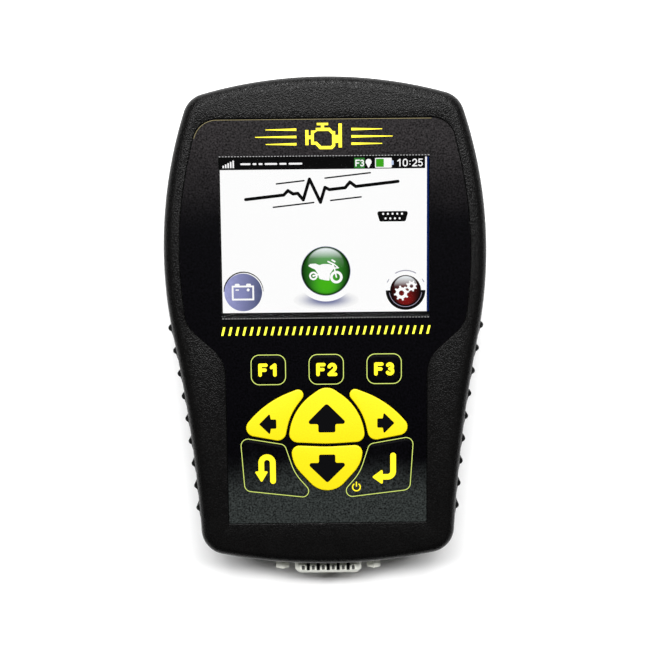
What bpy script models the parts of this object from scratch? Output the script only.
"""Handheld vehicle diagnostic code reader, lying on its back with the screen facing +Z.

The outlines below are given in millimetres and the meshes are made in metres. X runs across the face,
+Y towards the top of the screen and +Z out of it. The origin is under the middle of the overall box.
"""

import math

import bmesh
import bpy
from mathutils import Vector

MM = 0.001
CHORD_ERROR = 0.08  # how far a facet may cut inside the arc that it stands for
GAP = 0.15  # between pieces that touch on the real object

# Case in plan, at its parting line
CASE_TOP = 88.45
CASE_BOTTOM = -82.4
HALF_WIDTH = 56.0
WIDEST_Y = 27.6
TOP_RADIUS = 156.3
BOTTOM_RADIUS = 186.3
SIDE_RADIUS = 152.0
WAIST_RADIUS = 532.0
WAIST_START = math.radians(-10.4)  # where the bulging side turns into the hollow waist
CORNER_RADIUS = 9.9

# Case in height
FACE_Z = 34.0
PARTING_Z = 18.0
WALL = 2.4
FRONT_DRAFT = 0.8  # how much smaller the outline is where the face's rounding starts
FRONT_ROUNDING = 4.0
REAR_DRAFT = 1.2
REAR_ROUNDING = 5.0
INNER_CHAMFER = 1.6
CEILING_Z = 31.4
RECESS_FLOOR_Z = 33.0
OVERLAY_TOP_Z = 33.7

# Display
SCREEN_Y = 34.6
WINDOW_SIZE = (72.2, 56.0)
CLEAR_VIEW_SIZE = (71.0, 54.4)  # the hole in the overlay
CLEAR_VIEW_Y = 33.8
LCD_SIZE = (76.9, 63.9)
LCD_OPENING = (71.6, 54.0)
LCD_SHEET = 0.5
GASKET_OUTER = (76.0, 63.0)
GASKET_INNER = (73.0, 57.4)
LCD_TOP_Z = 30.8
LCD_BOTTOM_Z = 26.9

# Circuit board
BOARD_BOTTOM_Z = 25.0
BOARD_TOP_Z = 26.6
SWITCH_HEIGHT = 2.5

# Keys
KEY_BOTTOM_Z = 30.4
KEY_GAP = 0.15
KEY_LIP = 0.3  # the ledge under the front cover that keeps a key in
FUNCTION_KEY_SIZE = (12.15, 10.7)
FUNCTION_KEY_PITCH = 19.9
FUNCTION_KEY_Y = -11.4
KEY_EDGE = 0.25

# Side grips
GRIP_RIBS = 9
FIRST_RIB_Y = 2.8
RIB_PITCH = 8.04
RIB_RADIUS = 1.2
GRIP_LOW_Z = 7.0
GRIP_HIGH_Z = 28.5
GRIP_OUTER_INSET = 0.55
GRIP_INNER_INSET = 1.5

# Fifteen-way connector in the bottom end, and its two jack screws
CONNECTOR_Z = 18.2
CONNECTOR_REACH = 6.05
FLANGE_SIZE = (39.2, 12.5)
FLANGE_THICKNESS = 0.8
JACK_SPACING = 33.32
JACK_LENGTH = 4.8
JACK_RADIUS = 2.74  # of the hexagon, to its corners
JACK_BORE = 1.2
STUD_RADIUS = 1.4
SHELL_THICKNESS = 0.5
PIN_PITCH = 2.77
PIN_ROW_SPACING = 2.84
PIN_RADIUS = 0.5
PIN_LEGS = (13.5, 16.0)  # how far behind the end of the case the two rows turn up

# Battery bay, opening on the back
BAY_HALF_WIDTH = 28.2
BAY_LOW_Y = 15.8
BAY_HIGH_Y = 70.2
BAY_ROOF_Z = 15.6
DOOR_HALF_WIDTH = 30.2
DOOR_LOW_Y = 7.8
DOOR_HIGH_Y = 72.2
DOOR_SEAT_Z = 2.2
DOOR_SCREW_Y = 11.4
BAY_WALL = 2.2
DOOR_LEDGE = 1.8
DOOR_GAP = 0.3
PACK_GAP = 0.4
PACK_EDGE = 1.0

CASE_SCREWS = ((-38.0, 74.0), (38.0, 74.0), (-34.5, -69.5), (34.5, -69.5))
BOARD_SCREWS = ((-42.5, 60.0), (42.5, 60.0), (-36.5, -58.0), (36.5, -58.0))
WELL_RADIUS = 3.1
WELL_DEPTH = 9.0
LABEL_SIZE = (52.0, 26.0)
LABEL_Y = -32.0
COIN_CELL_PLACE = (-24.0, -18.0)


# ---------------------------------------------------------------- outlines, in millimetres


def arc(centre, radius, start, end):
    """Points of an arc, both ends included, fine enough for CHORD_ERROR."""
    step = 2 * math.acos(1 - CHORD_ERROR / max(radius, 2 * CHORD_ERROR))
    count = max(1, math.ceil(abs(end - start) / step))
    angles = [start + (end - start) * i / count for i in range(count + 1)]
    return [Vector((centre[0] + radius * math.cos(a), centre[1] + radius * math.sin(a))) for a in angles]


def circle(x, y, radius, sides=16):
    turns = [2 * math.pi * i / sides for i in range(sides)]
    return [Vector((x + radius * math.cos(t), y + radius * math.sin(t))) for t in turns]


def rounded(corners):
    """A closed outline from corners (x, y, radius), each corner rounded by an arc of its own radius."""
    points = []
    for i, (x, y, radius) in enumerate(corners):
        here = Vector((x, y))
        if not radius:
            points.append(here)
            continue
        back = (Vector(corners[i - 1][:2]) - here).normalized()
        ahead = (Vector(corners[(i + 1) % len(corners)][:2]) - here).normalized()
        half = back.angle(ahead) / 2
        centre = here + (back + ahead).normalized() * (radius / math.sin(half))
        first = here + back * (radius / math.tan(half)) - centre
        last = here + ahead * (radius / math.tan(half)) - centre
        start = math.atan2(first.y, first.x)
        turn = (math.atan2(last.y, last.x) - start + math.pi) % (2 * math.pi) - math.pi
        points += arc(centre, radius, start, start + turn)
    return points


def rectangle(width, height, radius=0.0, x=0.0, y=0.0):
    corners = [(1, 1), (1, -1), (-1, -1), (-1, 1)]
    return rounded([(x + side * width / 2, y + end * height / 2, radius) for side, end in corners])


def symmetric(right_side):
    """Corners of the whole shape, from those on its right side listed from top to bottom."""
    left_side = [(-x, y, radius) for x, y, radius in reversed(right_side) if x > 0]
    return [*right_side, *left_side]


def flipped(corners):
    return [(-x, y, radius) for x, y, radius in reversed(corners)]


def offset(points, distance):
    """The closed outline moved inwards by a distance, or outwards by a negative one, with as many points."""
    area = sum(a.x * b.y - b.x * a.y for a, b in zip(points, points[1:] + points[:1]))
    side = distance if area > 0 else -distance
    moved = []
    for i, here in enumerate(points):
        back = (here - points[i - 1]).normalized()
        ahead = (points[(i + 1) % len(points)] - here).normalized()
        normal = Vector((-back.y - ahead.y, back.x + ahead.x)).normalized()
        moved.append(here + normal * (side / max(0.3, normal.dot(Vector((-back.y, back.x))))))
    return moved


def circles_meet(centre_a, radius_a, centre_b, radius_b, upper):
    """The crossing of two circles, the upper or the lower of the two."""
    apart = centre_b - centre_a
    along = (radius_a**2 - radius_b**2 + apart.length_squared) / (2 * apart.length)
    across = math.sqrt(radius_a**2 - along**2)
    unit = apart.normalized()
    found = [centre_a + unit * along + Vector((-unit.y, unit.x)) * s * across for s in (1, -1)]
    return max(found, key=lambda p: p.y) if upper else min(found, key=lambda p: p.y)


def bearing(start, end):
    return math.atan2(end.y - start.y, end.x - start.x)


def case_outline():
    """Arched ends, bulging sides and a hollow waist: six arcs a side, each tangent to the next."""
    top = Vector((0, CASE_TOP - TOP_RADIUS))
    bottom = Vector((0, CASE_BOTTOM + BOTTOM_RADIUS))
    side = Vector((HALF_WIDTH - SIDE_RADIUS, WIDEST_Y))
    reach = SIDE_RADIUS + WAIST_RADIUS
    waist = side + Vector((math.cos(WAIST_START), math.sin(WAIST_START))) * reach
    corner = CORNER_RADIUS
    high = circles_meet(top, TOP_RADIUS - corner, side, SIDE_RADIUS - corner, True)
    low = circles_meet(waist, WAIST_RADIUS + corner, bottom, BOTTOM_RADIUS - corner, False)
    right = arc(top, TOP_RADIUS, math.pi / 2, bearing(top, high))
    right += arc(high, corner, bearing(top, high), bearing(side, high))[1:]
    right += arc(side, SIDE_RADIUS, bearing(side, high), WAIST_START)[1:]
    right += arc(waist, WAIST_RADIUS, WAIST_START + math.pi, bearing(waist, low))[1:]
    right += arc(low, corner, bearing(low, waist), bearing(bottom, low))[1:]
    right += arc(bottom, BOTTOM_RADIUS, bearing(bottom, low), -math.pi / 2)[1:]
    return right + [Vector((-p.x, p.y)) for p in reversed(right[1:-1])]


# Shapes on the face: wide round the screen, narrow round the keys
RECESS = symmetric(
    [(42.4, 73.7, 8.2), (51.1, 37.4, 144.0), (47.9, 4.0, 10.0), (34.7, -8.0, 12.5), (34.7, -66.0, 0.8)]
)
KEY_UP = symmetric([(0, -16.7, 5.3), (11.65, -24.9, 19.2), (13.5, -36.9, 3.0), (0, -37.6, 60.0)])
KEY_DOWN = symmetric([(0, -38.7, 57.0), (12.6, -38.05, 2.65), (11.8, -45.0, 11.3), (0, -58.0, 7.8)])
KEY_RIGHT = [
    (4.29, -16.1, 1.9),
    (21.28, -22.75, 34.0),
    (30.48, -33.77, 3.0),
    (14.75, -36.77, 3.0),
    (12.73, -27.27, 20.5),
]
KEY_ENTER = [
    (30.2, -34.94, 2.6),
    (28.9, -54.3, 2.6),
    (3.1, -57.3, 2.3),
    (11.2, -47.9, 16.0),
    (14.54, -37.62, 2.4),
]


def function_key(column):
    return rectangle(*FUNCTION_KEY_SIZE, 3.0, column * FUNCTION_KEY_PITCH, FUNCTION_KEY_Y)


# Each key's outline, and the place of the switch under it
KEYS = {
    "key_f1": (function_key(-1), (-FUNCTION_KEY_PITCH, FUNCTION_KEY_Y)),
    "key_f2": (function_key(0), (0.0, FUNCTION_KEY_Y)),
    "key_f3": (function_key(1), (FUNCTION_KEY_PITCH, FUNCTION_KEY_Y)),
    "key_up": (rounded(KEY_UP), (0.0, -29.0)),
    "key_down": (rounded(KEY_DOWN), (0.0, -45.5)),
    "key_left": (rounded(flipped(KEY_RIGHT)), (-20.0, -30.0)),
    "key_right": (rounded(KEY_RIGHT), (20.0, -30.0)),
    "key_back": (rounded(flipped(KEY_ENTER)), (-20.5, -46.5)),
    "key_enter": (rounded(KEY_ENTER), (20.5, -46.5)),
}


# ---------------------------------------------------------------- Blender objects


def start_scene():
    for obj in list(bpy.data.objects):
        bpy.data.objects.remove(obj)
    for name in ("code_reader", "cutters"):
        bpy.context.scene.collection.children.link(bpy.data.collections.new(name))


def add(obj, material=None):
    """Puts an object in the model with its material or, where it has none, among the cutters."""
    bpy.data.collections["code_reader" if material else "cutters"].objects.link(obj)
    if material:
        obj.data.materials.append(MATERIALS[material])
    else:
        obj.hide_render = True
        obj.display_type = "WIRE"
    return obj


def make_material(name, colour, roughness, metallic=0.0):
    made = bpy.data.materials.new(name)
    made.use_nodes = True
    shader = made.node_tree.nodes["Principled BSDF"]
    shader.inputs["Base Color"].default_value = (*colour, 1)
    shader.inputs["Roughness"].default_value = roughness
    shader.inputs["Metallic"].default_value = metallic
    return made


def stack(name, rings, material=None, closed=False):
    """A solid lofted through rings (outline, z), capped at its ends, or joined end to end if closed."""
    made = bmesh.new()
    loops = [[made.verts.new((p.x * MM, p.y * MM, z * MM)) for p in outline] for outline, z in rings]
    pairs = list(zip(loops, loops[1:]))
    if closed:
        pairs.append((loops[-1], loops[0]))
    for low, high in pairs:
        for i in range(len(low)):
            made.faces.new((low[i - 1], low[i], high[i], high[i - 1]))
    if not closed:
        made.faces.new(loops[0])
        made.faces.new(loops[-1])
    bmesh.ops.recalc_face_normals(made, faces=made.faces)
    mesh = bpy.data.meshes.new(name)
    made.to_mesh(mesh)
    made.free()
    return add(bpy.data.objects.new(name, mesh), material)


def as_mesh(obj):
    """Replaces a curve by a mesh whose caps are welded to its sides."""
    name = obj.name
    collections = list(obj.users_collection)
    bpy.context.view_layer.update()
    graph = bpy.context.evaluated_depsgraph_get()
    mesh = bpy.data.meshes.new_from_object(obj.evaluated_get(graph))
    where = obj.matrix_world.copy()
    hidden = obj.hide_render
    bpy.data.objects.remove(obj)
    welded = bmesh.new()
    welded.from_mesh(mesh)
    bmesh.ops.remove_doubles(welded, verts=welded.verts, dist=1e-6)
    bmesh.ops.recalc_face_normals(welded, faces=welded.faces)
    welded.to_mesh(mesh)
    welded.free()
    made = bpy.data.objects.new(name, mesh)
    made.matrix_world = where
    made.hide_render = hidden
    made.display_type = "WIRE" if hidden else "TEXTURED"
    for collection in collections:
        collection.objects.link(made)
    return made


def plate(name, outlines, low, high, material=None, plane="XY"):
    """A flat piece: outlines in a plane, the inner ones holes, from low to high along the third axis."""
    curve = bpy.data.curves.new(name, "CURVE")
    curve.dimensions = "2D"
    curve.fill_mode = "BOTH"
    curve.extrude = (high - low) / 2 * MM
    for outline in outlines:
        spline = curve.splines.new("POLY")
        spline.points.add(len(outline) - 1)
        for point, place in zip(spline.points, outline):
            point.co = (place.x * MM, place.y * MM, 0, 1)
        spline.use_cyclic_u = True
    made = bpy.data.objects.new(name, curve)
    middle = (low + high) / 2 * MM
    quarter = math.pi / 2
    made.location = {"XY": (0, 0, middle), "XZ": (0, middle, 0), "YZ": (middle, 0, 0)}[plane]
    made.rotation_euler = {"XY": (0, 0, 0), "XZ": (quarter, 0, 0), "YZ": (quarter, 0, quarter)}[plane]
    return as_mesh(add(made, material))


def block(name, low, high, material=None):
    """A plain box between two corners, made from Blender's cube."""
    low, high = Vector(low), Vector(high)
    made = bmesh.new()
    bmesh.ops.create_cube(made, size=MM)
    bmesh.ops.scale(made, vec=high - low, verts=made.verts)
    bmesh.ops.translate(made, vec=(low + high) / 2 * MM, verts=made.verts)
    mesh = bpy.data.meshes.new(name)
    made.to_mesh(mesh)
    made.free()
    return add(bpy.data.objects.new(name, mesh), material)


def turned(name, profile, place, material=None, steps=16):
    """A turned piece: a profile of (radius, z), listed from top to bottom, round a vertical axis."""
    mesh = bpy.data.meshes.new(name)
    points = [(radius * MM, 0, z * MM) for radius, z in profile]
    mesh.from_pydata(points, [(i, i + 1) for i in range(len(points) - 1)], [])
    made = add(bpy.data.objects.new(name, mesh), material)
    made.location = Vector((*place, 0)) * MM
    sweep = made.modifiers.new("sweep", "SCREW")
    sweep.steps = sweep.render_steps = steps
    sweep.use_merge_vertices = True
    sweep.merge_threshold = 1e-5
    sweep.use_smooth_shade = False
    return made


def wire(name, routes, radius, material=None, resolution=2):
    """Round wires along lists of points, as one curve."""
    curve = bpy.data.curves.new(name, "CURVE")
    curve.dimensions = "3D"
    curve.bevel_depth = radius * MM
    curve.bevel_resolution = resolution
    curve.use_fill_caps = True
    for route in routes:
        spline = curve.splines.new("POLY")
        spline.points.add(len(route) - 1)
        for point, place in zip(spline.points, route):
            point.co = (*(Vector(place) * MM), 1)
    return add(bpy.data.objects.new(name, curve), material)


def combine(target, tool, operation):
    change = target.modifiers.new(operation.lower(), "BOOLEAN")
    change.operation = operation
    change.object = tool
    change.solver = "EXACT"


# ---------------------------------------------------------------- case


def fillet(start_z, start_inset, radius, direction, steps=4):
    """(z, inset) along a rounded edge that starts upright and ends flat."""
    points = []
    for i in range(1, steps + 1):
        turn = math.pi / 2 * i / steps
        z = start_z + direction * radius * math.sin(turn)
        points.append((z, start_inset + radius * (1 - math.cos(turn))))
    return points


def cover(name, outer, inner):
    """A dish between an outer and an inner surface, each a list of (z, inset) from the parting line."""
    rings = [(offset(CASE, inset), z) for z, inset in [*reversed(outer), *inner]]
    return stack(name, rings, "case_plastic")


def grip_outline(ribbed, extra=0.0):
    """Right-hand grip in plan, with half-round ribs along its outer side, or else the cut that seats it."""
    centre = Vector((HALF_WIDTH - SIDE_RADIUS, WIDEST_Y))
    reach = SIDE_RADIUS + WAIST_RADIUS
    waist = centre + Vector((math.cos(WAIST_START), math.sin(WAIST_START))) * reach

    def side_point(y, inset):
        """The side of the case at a height y, an inset inside the parting line."""
        if y > centre.y + SIDE_RADIUS * math.sin(WAIST_START):
            return Vector((centre.x + math.sqrt((SIDE_RADIUS - inset) ** 2 - (y - centre.y) ** 2), y))
        return Vector((waist.x - math.sqrt((WAIST_RADIUS + inset) ** 2 - (y - waist.y) ** 2), y))

    margin = RIB_PITCH / 2 + extra
    rib_ys = [FIRST_RIB_Y - RIB_PITCH * i for i in range(GRIP_RIBS)]
    outside = GRIP_OUTER_INSET if ribbed else -RIB_RADIUS
    outer = [side_point(FIRST_RIB_Y + margin, outside)]
    for y in rib_ys:
        seat = side_point(y, outside)
        if ribbed:
            outer += arc(seat, RIB_RADIUS, math.radians(80), math.radians(-80))
        else:
            outer.append(seat)
    outer.append(side_point(rib_ys[-1] - margin, outside))
    ys = [FIRST_RIB_Y + margin, *rib_ys, rib_ys[-1] - margin]
    inner = [side_point(y, GRIP_INNER_INSET + extra) for y in reversed(ys)]
    return outer + inner


def build_case():
    front_outer = [(PARTING_Z, 0.0), (FACE_Z - FRONT_ROUNDING, FRONT_DRAFT)]
    front_outer += fillet(FACE_Z - FRONT_ROUNDING, FRONT_DRAFT, FRONT_ROUNDING, 1)
    front_inner = [(PARTING_Z, WALL), (CEILING_Z - INNER_CHAMFER, FRONT_DRAFT + WALL)]
    front_inner.append((CEILING_Z, FRONT_DRAFT + WALL + INNER_CHAMFER))
    front = cover("front_cover", front_outer, front_inner)
    rear_top = PARTING_Z - GAP
    rear_outer = [(rear_top, 0.0), (REAR_ROUNDING, REAR_DRAFT)]
    rear_outer += fillet(REAR_ROUNDING, REAR_DRAFT, REAR_ROUNDING, -1)
    rear_inner = [(rear_top, WALL), (WALL + 3, REAR_DRAFT + WALL), (WALL, REAR_DRAFT + WALL + 3)]
    rear = cover("rear_cover", rear_outer, rear_inner)

    # Front: screw pillars hang from the ceiling, then the recess, the window and the key holes are cut
    for name, places, radius, bore, foot in (
        ("case_pillars", CASE_SCREWS, 3.4, 1.65, PARTING_Z + 0.2),
        ("board_pillars", BOARD_SCREWS, 2.6, 1.1, BOARD_TOP_Z + 0.2),
    ):
        rings = [circle(x, y, r, 12) for x, y in places for r in (radius, bore)]
        combine(front, plate(name, rings, foot, CEILING_Z + 0.3), "UNION")
    combine(front, plate("recess", [rounded(RECESS)], RECESS_FLOOR_Z, FACE_Z + 1), "DIFFERENCE")
    holes = [offset(outline, -KEY_GAP) for outline, _ in KEYS.values()]
    holes.append(rectangle(WINDOW_SIZE[0] + 0.4, WINDOW_SIZE[1] + 0.4, 1.0, 0, SCREEN_Y))
    combine(front, plate("face_holes", holes, CEILING_Z - 1, FACE_Z), "DIFFERENCE")

    # Rear: pillars for the case screws, and a walled bay for the battery that opens on the back
    pillars = [circle(x, y, 4.6, 16) for x, y in CASE_SCREWS]
    combine(rear, plate("rear_pillars", pillars, 1, rear_top - 0.2), "UNION")
    seat_reach = DOOR_HALF_WIDTH + DOOR_LEDGE
    seat_low = (-seat_reach, DOOR_LOW_Y - DOOR_LEDGE, 1)
    seat_high = (seat_reach, DOOR_HIGH_Y + DOOR_LEDGE, 4.2)
    combine(rear, block("door_seat", seat_low, seat_high), "UNION")
    bay_reach = BAY_HALF_WIDTH + BAY_WALL
    bay_low = (-bay_reach, BAY_LOW_Y - BAY_WALL, 1.5)
    bay_high = (bay_reach, BAY_HIGH_Y + BAY_WALL, BAY_ROOF_Z + 1.6)
    combine(rear, block("bay_walls", bay_low, bay_high), "UNION")
    combine(rear, plate("door_pillar", [circle(0, DOOR_SCREW_Y, 3.2, 12)], 1.5, 12), "UNION")
    sunk = [circle(x, y, WELL_RADIUS, 16) for x, y in CASE_SCREWS]
    combine(rear, plate("screw_wells", sunk, -1, WELL_DEPTH), "DIFFERENCE")
    through = [circle(x, y, 1.7, 10) for x, y in CASE_SCREWS]
    combine(rear, plate("screw_holes", through, WELL_DEPTH - 1, rear_top + 1), "DIFFERENCE")
    door_hole = rectangle(2 * DOOR_HALF_WIDTH, DOOR_HIGH_Y - DOOR_LOW_Y, 3, 0, (DOOR_HIGH_Y + DOOR_LOW_Y) / 2)
    combine(rear, plate("door_hole", [door_hole], -1, DOOR_SEAT_Z), "DIFFERENCE")
    bay = rectangle(2 * BAY_HALF_WIDTH, BAY_HIGH_Y - BAY_LOW_Y, 2, 0, (BAY_HIGH_Y + BAY_LOW_Y) / 2)
    combine(rear, plate("bay", [bay], DOOR_SEAT_Z - 1, BAY_ROOF_Z), "DIFFERENCE")
    combine(rear, plate("door_screw_hole", [circle(0, DOOR_SCREW_Y, 1.1, 10)], 1.5, 11), "DIFFERENCE")
    combine(rear, block("lead_slot", (20.5, BAY_LOW_Y - 4, 9), (26.5, BAY_LOW_Y + 1, 13)), "DIFFERENCE")
    label = rectangle(*LABEL_SIZE, 2, 0, LABEL_Y)
    combine(rear, plate("label_recess", [offset(label, -0.2)], -1, 0.5), "DIFFERENCE")

    # Both: the connector's mouth in the end wall and the seats of the grips
    mouth_x = FLANGE_SIZE[0] / 2 + 0.3
    mouth_z = FLANGE_SIZE[1] / 2 + 0.3
    mouth_low = (-mouth_x, CASE_BOTTOM - 2, CONNECTOR_Z - mouth_z)
    mouth_high = (mouth_x, CASE_BOTTOM + 4, CONNECTOR_Z + mouth_z)
    mouth = block("connector_mouth", mouth_low, mouth_high)
    right = grip_outline(False, GAP)
    left = [Vector((-p.x, p.y)) for p in reversed(right)]
    seats = plate("grip_seats", [right, left], GRIP_LOW_Z - GAP, GRIP_HIGH_Z + GAP)
    for shell in (front, rear):
        combine(shell, mouth, "DIFFERENCE")
        combine(shell, seats, "DIFFERENCE")

    outline = grip_outline(True)
    plate("right_grip", [outline], GRIP_LOW_Z, GRIP_HIGH_Z, "grip_rubber")
    mirrored = [Vector((-p.x, p.y)) for p in reversed(outline)]
    plate("left_grip", [mirrored], GRIP_LOW_Z, GRIP_HIGH_Z, "grip_rubber")
    plate("rating_label", [label], 0.1, 0.35, "label_film")


def build_fasteners():
    head = [(0, 8.6), (2.8, 8.6), (2.8, 7.4), (2.0, 6.6), (0, 6.6)]
    shank = [(0, 27), (1.5, 26), (1.5, 8.6)]
    for i, place in enumerate(CASE_SCREWS, 1):
        turned(f"case_screw_{i}", shank + head[1:], place, "screw_steel", 12)
    under = BOARD_BOTTOM_Z - GAP
    board_screw = [(0, 30.6), (0.95, 30.2), (0.95, under), (2.1, under), (2.1, under - 1.2), (0, under - 1.6)]
    for i, place in enumerate(BOARD_SCREWS, 1):
        turned(f"board_screw_{i}", board_screw, place, "screw_steel", 12)


# ---------------------------------------------------------------- front panel and display


def build_front_panel():
    view = rectangle(*CLEAR_VIEW_SIZE, 0.4, 0, CLEAR_VIEW_Y)
    holes = [offset(outline, -KEY_GAP) for outline, _ in KEYS.values()]
    film = offset(rounded(RECESS), 0.2)
    plate("front_overlay", [film, view, *holes], RECESS_FLOOR_Z + 0.2, OVERLAY_TOP_Z, "overlay_film")
    window = rectangle(*WINDOW_SIZE, 0.8, 0, SCREEN_Y)
    plate("display_window", [window], CEILING_Z + 0.2, RECESS_FLOOR_Z, "window_clear")
    seal = [rectangle(*size, 1, 0, SCREEN_Y) for size in (GASKET_OUTER, GASKET_INNER)]
    plate("display_gasket", seal, LCD_TOP_Z + GAP, CEILING_Z - GAP, "foam")
    for name, (outline, place) in KEYS.items():
        yellow = name in ("key_up", "key_down", "key_left", "key_right")
        low_ring = offset(outline, -KEY_LIP)
        rings = [(low_ring, KEY_BOTTOM_Z), (low_ring, CEILING_Z - 0.2), (outline, CEILING_Z - 0.2)]
        rings += [(outline, FACE_Z - KEY_EDGE), (offset(outline, KEY_EDGE), FACE_Z)]
        stack(name, rings, "key_yellow" if yellow else "key_black")


def build_display():
    outer = rectangle(*LCD_SIZE, 0, 0, SCREEN_Y)
    inside = offset(outer, LCD_SHEET)
    opening = rectangle(*LCD_OPENING, 0, 0, SCREEN_Y)
    lip = LCD_TOP_Z - 0.3
    rings = [(outer, LCD_BOTTOM_Z), (outer, LCD_TOP_Z), (opening, LCD_TOP_Z), (opening, lip)]
    rings += [(inside, lip), (inside, LCD_BOTTOM_Z)]
    stack("lcd_frame", rings, "frame_steel", closed=True)
    width, height = LCD_SIZE
    panel = [rectangle(width - 1.4, height - 1.4, 0, 0, SCREEN_Y)]
    plate("lcd_panel", panel, lip - 1.7, lip - GAP, "lcd_glass")
    plate("lcd_backlight", panel, LCD_BOTTOM_Z, lip - 1.85, "light_guide")
    edge = SCREEN_Y - height / 2
    strip = [(edge - 0.2, 28.3), (edge - 2.0, 28.3), (edge - 3.4, 27.7), (edge - 4.0, 27.7)]
    outline = [Vector(p) for p in strip] + [Vector((y, z + 0.25)) for y, z in reversed(strip)]
    plate("lcd_ribbon", [outline], -11, 11, "flex_film", "YZ")
    block("ribbon_connector", (-13, edge - 8.2, BOARD_TOP_Z + GAP), (13, edge - 4.2, 28.6), "socket_plastic")


# ---------------------------------------------------------------- circuit board and what stands on it


def build_board():
    right = [(33.5, 80.0, 1.5), (33.5, 69.0, 1.5), (45.0, 69.0, 3.0), (48.5, 30.0, 40.0), (39.2, -40.0, 60.0)]
    right += [(38.8, -63.5, 2.0), (30.0, -63.5, 1.0), (30.0, -74.0, 1.0)]
    holes = [circle(x, y, 1.3, 10) for x, y in BOARD_SCREWS]
    plate("main_board", [rounded(symmetric(right)), *holes], BOARD_BOTTOM_Z, BOARD_TOP_Z, "board_green")

    body = [rectangle(6, 6, 0.4)]
    switch = plate("switch_base", body, -SWITCH_HEIGHT / 2, SWITCH_HEIGHT / 2, "switch_black")
    button = [circle(0, 0, 1.7, 10)]
    combine(switch, plate("switch_button", button, 0, SWITCH_HEIGHT / 2 + 0.5), "UNION")
    bpy.context.view_layer.update()
    graph = bpy.context.evaluated_depsgraph_get()
    mesh = bpy.data.meshes.new_from_object(switch.evaluated_get(graph))
    bpy.data.objects.remove(switch)
    for name, (_, (x, y)) in KEYS.items():
        made = bpy.data.objects.new(name.replace("key_", "switch_"), mesh)
        bpy.data.collections["code_reader"].objects.link(made)
        made.location = Vector((x, y, BOARD_TOP_Z + GAP + SWITCH_HEIGHT / 2)) * MM

    # Under the board; each block is (centre x, y), (width, length), height
    under = BOARD_BOTTOM_Z - GAP
    for name, (x, y), (width, length), height, finish in (
        ("processor_chip", (0, -22), (14, 14), 1.4, "chip_epoxy"),
        ("memory_chip", (19, -22), (10, 12), 1.1, "chip_epoxy"),
        ("bus_transceiver", (-9, -54), (9, 5), 1.6, "chip_epoxy"),
        ("power_inductor", (27, -46), (10, 10), 4.2, "ferrite"),
        ("battery_socket", (23.5, -1), (8, 6), 4.6, "socket_plastic"),
        ("battery_plug", (23.5, -6.6), (7, 4.6), 4.2, "plug_plastic"),
    ):
        corner = Vector((width, length)) / 2
        block(name, (x - corner.x, y - corner.y, under - height), (x + corner.x, y + corner.y, under), finish)
    can = [(0, under), (4, under), (4, under - 7), (3.6, under - 7.4), (0, under - 7.4)]
    turned("filter_capacitor", can, (11, -46), "can_aluminium")
    sounder = [(0, under), (6, under), (6, under - 5.5), (1.2, under - 5.5)]
    sounder += [(1.2, under - 4.5), (0, under - 4.5)]
    turned("buzzer", sounder, (-27, -46), "switch_black")
    holder = [circle(*COIN_CELL_PLACE, 11.5, 24), circle(*COIN_CELL_PLACE, 10.2, 24)]
    plate("coin_cell_holder", holder, under - 4.4, under, "socket_plastic")
    cell = [(0, under - 0.5), (10, under - 0.5), (10, under - 3.4), (9, under - 3.7), (0, under - 3.7)]
    turned("coin_cell", cell, COIN_CELL_PLACE, "cell_steel", 24)


def smooth_route(points, pieces):
    """A Catmull-Rom line through the points, with some pieces between each two."""
    points = [Vector(p) for p in points]
    ends = [2 * points[0] - points[1], *points, 2 * points[-1] - points[-2]]
    route = []
    for a, b, c, d in zip(ends, ends[1:], ends[2:], ends[3:]):
        for i in range(pieces):
            t = i / pieces
            squared = (2 * a - 5 * b + 4 * c - d) * t**2
            cubed = (3 * b - a - 3 * c + d) * t**3
            route.append(0.5 * (2 * b + (c - a) * t + squared + cubed))
    return [*route, points[-1]]


def build_battery():
    width = 2 * (BAY_HALF_WIDTH - PACK_GAP)
    length = BAY_HIGH_Y - BAY_LOW_Y - 2 * PACK_GAP
    middle = (BAY_HIGH_Y + BAY_LOW_Y) / 2
    wrap = rectangle(width, length, 3, 0, middle)
    low = DOOR_SEAT_Z + 0.3
    high = BAY_ROOF_Z - 0.6
    narrower = offset(wrap, PACK_EDGE)
    rings = [(narrower, low), (wrap, low + PACK_EDGE), (wrap, high - PACK_EDGE), (narrower, high)]
    stack("battery_pack", rings, "battery_wrap")
    pack_end = middle - length / 2 - GAP
    for colour, x in (("red", 24.6), ("black", 22.4)):
        route = [(x, pack_end, 11), (x, pack_end - 5, 11), (x, 5, 11.5), (x, -4, 13), (x, -11.5, 17)]
        route += [(x, -13, 21), (x, -11.4, 22.6), (x, -9.1, 22.8)]
        wire(f"battery_lead_{colour}", [smooth_route(route, 4)], 0.65, f"wire_{colour}", 1)
    opening = (2 * DOOR_HALF_WIDTH, DOOR_HIGH_Y - DOOR_LOW_Y)
    door = offset(rectangle(*opening, 3, 0, (DOOR_HIGH_Y + DOOR_LOW_Y) / 2), DOOR_GAP)
    lid = plate("battery_door", [door], 0.3, DOOR_SEAT_Z - GAP, "case_plastic")
    combine(lid, plate("door_screw_passage", [circle(0, DOOR_SCREW_Y, 1.4, 10)], -1, 4), "DIFFERENCE")
    combine(lid, plate("door_screw_well", [circle(0, DOOR_SCREW_Y, 2.6, 12)], -1, 1.3), "DIFFERENCE")
    screw = [(0, 9), (1, 8.4), (1, 1.15), (2.3, 1.15), (2.1, 0.45), (0, 0.45)]
    turned("door_screw", screw, (0, DOOR_SCREW_Y), "screw_steel", 12)


# ---------------------------------------------------------------- connector


def shell_outline(grow=0.0):
    """The connector's D shape, wide side up, in the plane of X and Z."""
    corners = symmetric([(12.6, CONNECTOR_Z + 4.18, 2.6), (11.1, CONNECTOR_Z - 4.18, 2.6)])
    return offset(rounded(corners), -grow)


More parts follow.
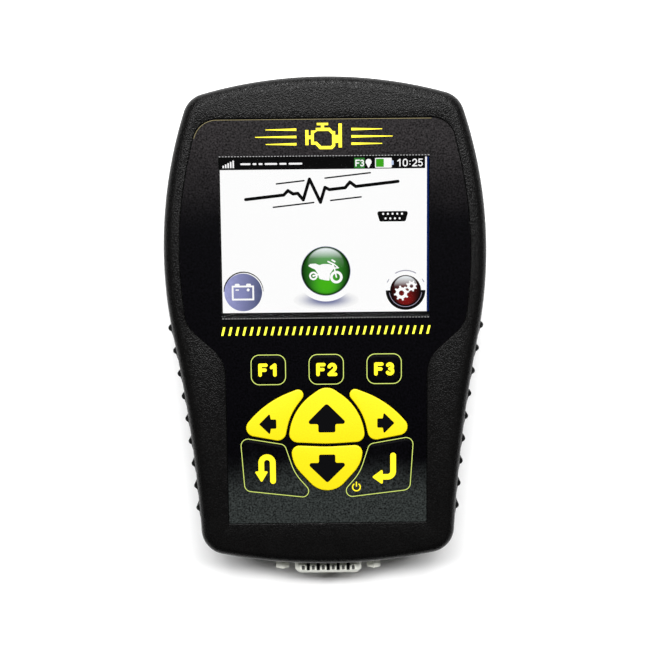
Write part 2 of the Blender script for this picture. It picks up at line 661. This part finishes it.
def build_connector():
    face = CASE_BOTTOM
    back = face + FLANGE_THICKNESS
    rim = face - CONNECTOR_REACH
    jacks = (-JACK_SPACING / 2, JACK_SPACING / 2)
    edge = rectangle(*FLANGE_SIZE, 1.5, 0, CONNECTOR_Z)
    shell = plate("connector_shell", [edge], face, back, "shell_nickel", "XZ")
    combine(shell, plate("shell_skirt", [shell_outline()], rim, back - 0.2, None, "XZ"), "UNION")
    bores = [shell_outline(-SHELL_THICKNESS), *(circle(x, CONNECTOR_Z, 1.6, 12) for x in jacks)]
    combine(shell, plate("shell_bores", bores, rim - 1, back + 1, None, "XZ"), "DIFFERENCE")

    # Insulator: a tongue that fills the root of the shell, and a block behind the flange
    pin_xs = [[(i - 3.5) * PIN_PITCH for i in range(8)], [(i - 3) * PIN_PITCH for i in range(7)]]
    pin_zs = [CONNECTOR_Z + PIN_ROW_SPACING / 2, CONNECTOR_Z - PIN_ROW_SPACING / 2]
    tongue = plate("insulator_tongue", [shell_outline(-0.7)], face - 0.6, back + 1, None, "XZ")
    body = [rectangle(28, 10.4, 0.5, 0, CONNECTOR_Z)]
    insulator = plate("connector_insulator", body, back + GAP, face + 9, "socket_plastic", "XZ")
    combine(insulator, tongue, "UNION")
    bores = [circle(x, z, PIN_RADIUS + 0.12, 8) for xs, z in zip(pin_xs, pin_zs) for x in xs]
    combine(insulator, plate("pin_bores", bores, face - 2, face + 10, None, "XZ"), "DIFFERENCE")

    # Pins turn up to the board behind a bar that spaces their legs, the upper row in front of the lower one
    legs = [face + reach for reach in PIN_LEGS]
    tip = rim + 1.0
    under = BOARD_BOTTOM_Z - GAP
    routes = [
        [(x, tip, z), (x, leg, z), (x, leg, under)] for xs, z, leg in zip(pin_xs, pin_zs, legs) for x in xs
    ]
    bar_low = (-11.5, face + 10, CONNECTOR_Z - 2.6)
    bar_high = (11.5, face + 11.6, CONNECTOR_Z + 2.6)
    bar = block("connector_contacts", bar_low, bar_high, "contact_gold")
    combine(bar, as_mesh(wire("pins", routes, PIN_RADIUS, None, 1)), "UNION")

    for side, x in zip(("left", "right"), jacks):
        nut = [[Vector((x + p.y, CONNECTOR_Z + p.x)) for p in circle(0, 0, JACK_RADIUS, 6)]]
        jack = plate(f"jack_screw_{side}", nut, face - JACK_LENGTH, face - GAP, "shell_nickel", "XZ")
        stud = [circle(x, CONNECTOR_Z, STUD_RADIUS, 10)]
        combine(jack, plate(f"jack_stud_{side}", stud, face - 1, face + 5, None, "XZ"), "UNION")
        bore = [circle(x, CONNECTOR_Z, JACK_BORE, 10)]
        combine(jack, plate(f"jack_bore_{side}", bore, face - 6, face - 0.6, None, "XZ"), "DIFFERENCE")


start_scene()
MATERIALS = {
    name: make_material(name, *finish)
    for name, finish in {
        "case_plastic": ((0.018, 0.017, 0.016), 0.55),
        "grip_rubber": ((0.015, 0.015, 0.015), 0.7),
        "overlay_film": ((0.02, 0.02, 0.024), 0.4),
        "key_yellow": ((0.95, 0.82, 0.02), 0.35),
        "key_black": ((0.02, 0.02, 0.022), 0.4),
        "window_clear": ((0.85, 0.87, 0.9), 0.08),
        "foam": ((0.03, 0.03, 0.03), 0.95),
        "frame_steel": ((0.6, 0.6, 0.6), 0.35, 1.0),
        "lcd_glass": ((0.9, 0.92, 0.95), 0.1),
        "light_guide": ((0.9, 0.9, 0.88), 0.4),
        "flex_film": ((0.55, 0.28, 0.05), 0.4),
        "board_green": ((0.02, 0.16, 0.06), 0.45),
        "chip_epoxy": ((0.025, 0.025, 0.027), 0.6),
        "ferrite": ((0.06, 0.06, 0.065), 0.7),
        "switch_black": ((0.03, 0.03, 0.03), 0.5),
        "can_aluminium": ((0.75, 0.75, 0.76), 0.3, 1.0),
        "cell_steel": ((0.7, 0.7, 0.7), 0.25, 1.0),
        "socket_plastic": ((0.035, 0.035, 0.037), 0.5),
        "plug_plastic": ((0.8, 0.79, 0.74), 0.5),
        "battery_wrap": ((0.03, 0.09, 0.3), 0.35),
        "wire_red": ((0.55, 0.02, 0.02), 0.45),
        "wire_black": ((0.02, 0.02, 0.02), 0.45),
        "shell_nickel": ((0.66, 0.64, 0.6), 0.28, 1.0),
        "contact_gold": ((0.83, 0.6, 0.25), 0.25, 1.0),
        "screw_steel": ((0.5, 0.5, 0.5), 0.35, 1.0),
        "label_film": ((0.35, 0.35, 0.36), 0.4),
    }.items()
}
CASE = case_outline()
build_case()
build_fasteners()
build_front_panel()
build_display()
build_board()
build_battery()
build_connector()
